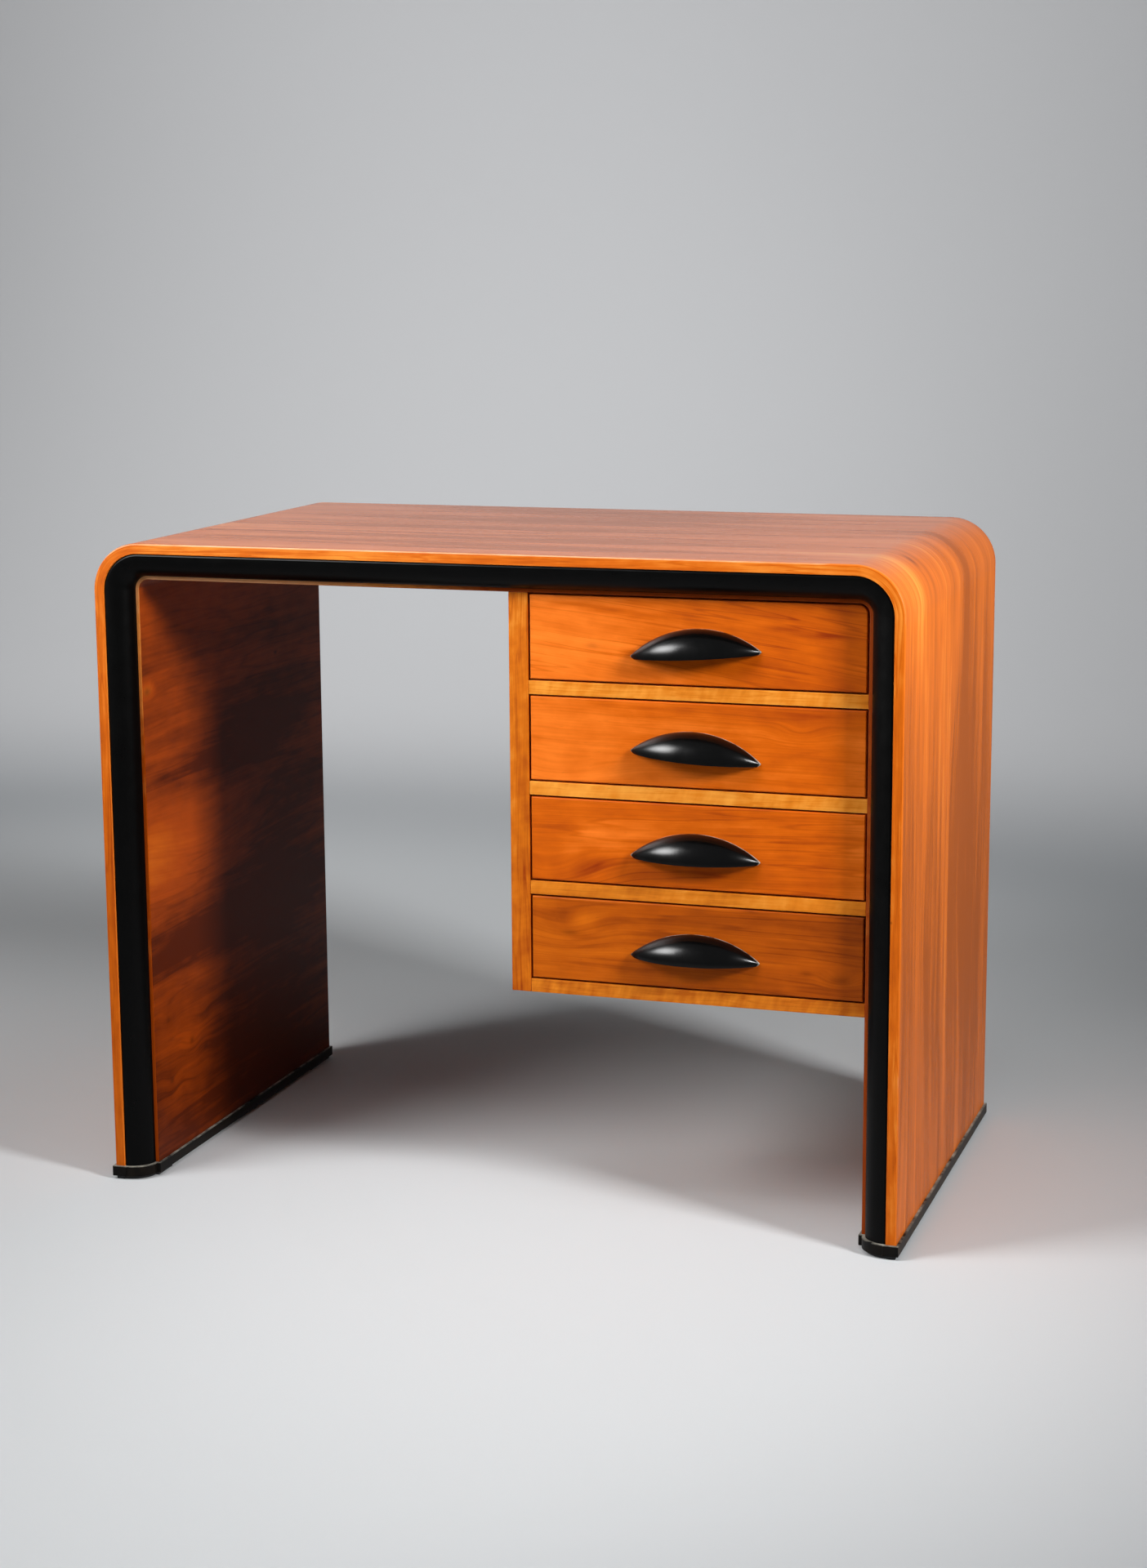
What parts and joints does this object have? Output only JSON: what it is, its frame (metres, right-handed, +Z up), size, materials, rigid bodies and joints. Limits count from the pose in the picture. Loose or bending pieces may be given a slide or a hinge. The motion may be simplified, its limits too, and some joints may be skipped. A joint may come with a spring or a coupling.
{
  "type": "pedestal writing desk",
  "caption": "Kneehole writing desk with a bent wooden shell, rounded upper corners, black front bead, plinth feet and a hanging pedestal of sliding drawers with lens-shaped pulls.",
  "frame": {"origin": "on the floor under the middle of the desk", "axes": "+X to the right of someone sitting at the desk, +Y to the back, +Z up"},
  "size_m": [0.956, 0.556, 0.765],
  "materials": {
    "shell_veneer": "lacquered cherry veneer",
    "lining_veneer": "lacquered cherry veneer",
    "drawer_veneer": "lacquered cherry veneer",
    "pedestal_wood": "lacquered solid wood",
    "ebonised_wood": "black satin lacquer",
    "drawer_box_wood": "bare planed beech",
    "plywood": "bare plywood",
    "carcass_wood": "bare sawn softwood",
    "screw_steel": "zinc plated",
    "glide_rubber": "matt"
  },
  "bodies": {
    "desk": {"outer_shell": "shell_veneer", "rear_lipping": "shell_veneer", "inner_lining": "lining_veneer", "pedestal_side": "pedestal_wood", "pedestal_bottom": "pedestal_wood", "rail_1": "pedestal_wood", "rail_2": "pedestal_wood", "rail_3": "pedestal_wood", "left_bead": "ebonised_wood", "left_corner_bead": "ebonised_wood", "top_bead": "ebonised_wood", "right_corner_bead": "ebonised_wood", "right_bead": "ebonised_wood", "left_plinth": "ebonised_wood", "right_plinth": "ebonised_wood", "glides": "glide_rubber", "plinth_screws": "screw_steel", "case_screws": "screw_steel", "dowels": "carcass_wood", "left_leg_core": "carcass_wood", "top_core": "carcass_wood", "right_leg_core": "carcass_wood", "corner_blocks": "carcass_wood", "pedestal_back": "plywood", "back_cleat": "carcass_wood", "drawer_stops": "carcass_wood", "left_runner_1": "carcass_wood", "right_runner_1": "carcass_wood", "left_runner_2": "carcass_wood", "right_runner_2": "carcass_wood", "left_runner_3": "carcass_wood", "right_runner_3": "carcass_wood"},
    "drawer_1": {"drawer_1_front": "drawer_veneer", "drawer_1_left_side": "drawer_box_wood", "drawer_1_right_side": "drawer_box_wood", "drawer_1_back": "drawer_box_wood", "drawer_1_bottom": "plywood", "drawer_1_pull": "ebonised_wood", "drawer_1_pull_screws": "screw_steel"},
    "drawer_2": {"drawer_2_front": "drawer_veneer", "drawer_2_left_side": "drawer_box_wood", "drawer_2_right_side": "drawer_box_wood", "drawer_2_back": "drawer_box_wood", "drawer_2_bottom": "plywood", "drawer_2_pull": "ebonised_wood", "drawer_2_pull_screws": "screw_steel"},
    "drawer_3": {"drawer_3_front": "drawer_veneer", "drawer_3_left_side": "drawer_box_wood", "drawer_3_right_side": "drawer_box_wood", "drawer_3_back": "drawer_box_wood", "drawer_3_bottom": "plywood", "drawer_3_pull": "ebonised_wood", "drawer_3_pull_screws": "screw_steel"},
    "drawer_4": {"drawer_4_front": "drawer_veneer", "drawer_4_left_side": "drawer_box_wood", "drawer_4_right_side": "drawer_box_wood", "drawer_4_back": "drawer_box_wood", "drawer_4_bottom": "plywood", "drawer_4_pull": "ebonised_wood", "drawer_4_pull_screws": "screw_steel"}
  },
  "joints": [
    {"name": "drawer_1_slide", "type": "slide", "parent": "desk", "child": "drawer_1", "axis": [0, -1, 0], "range_m": [0, 0.35]},
    {"name": "drawer_2_slide", "type": "slide", "parent": "desk", "child": "drawer_2", "axis": [0, -1, 0], "range_m": [0, 0.35]},
    {"name": "drawer_3_slide", "type": "slide", "parent": "desk", "child": "drawer_3", "axis": [0, -1, 0], "range_m": [0, 0.35]},
    {"name": "drawer_4_slide", "type": "slide", "parent": "desk", "child": "drawer_4", "axis": [0, -1, 0], "range_m": [0, 0.35]}
  ]
}
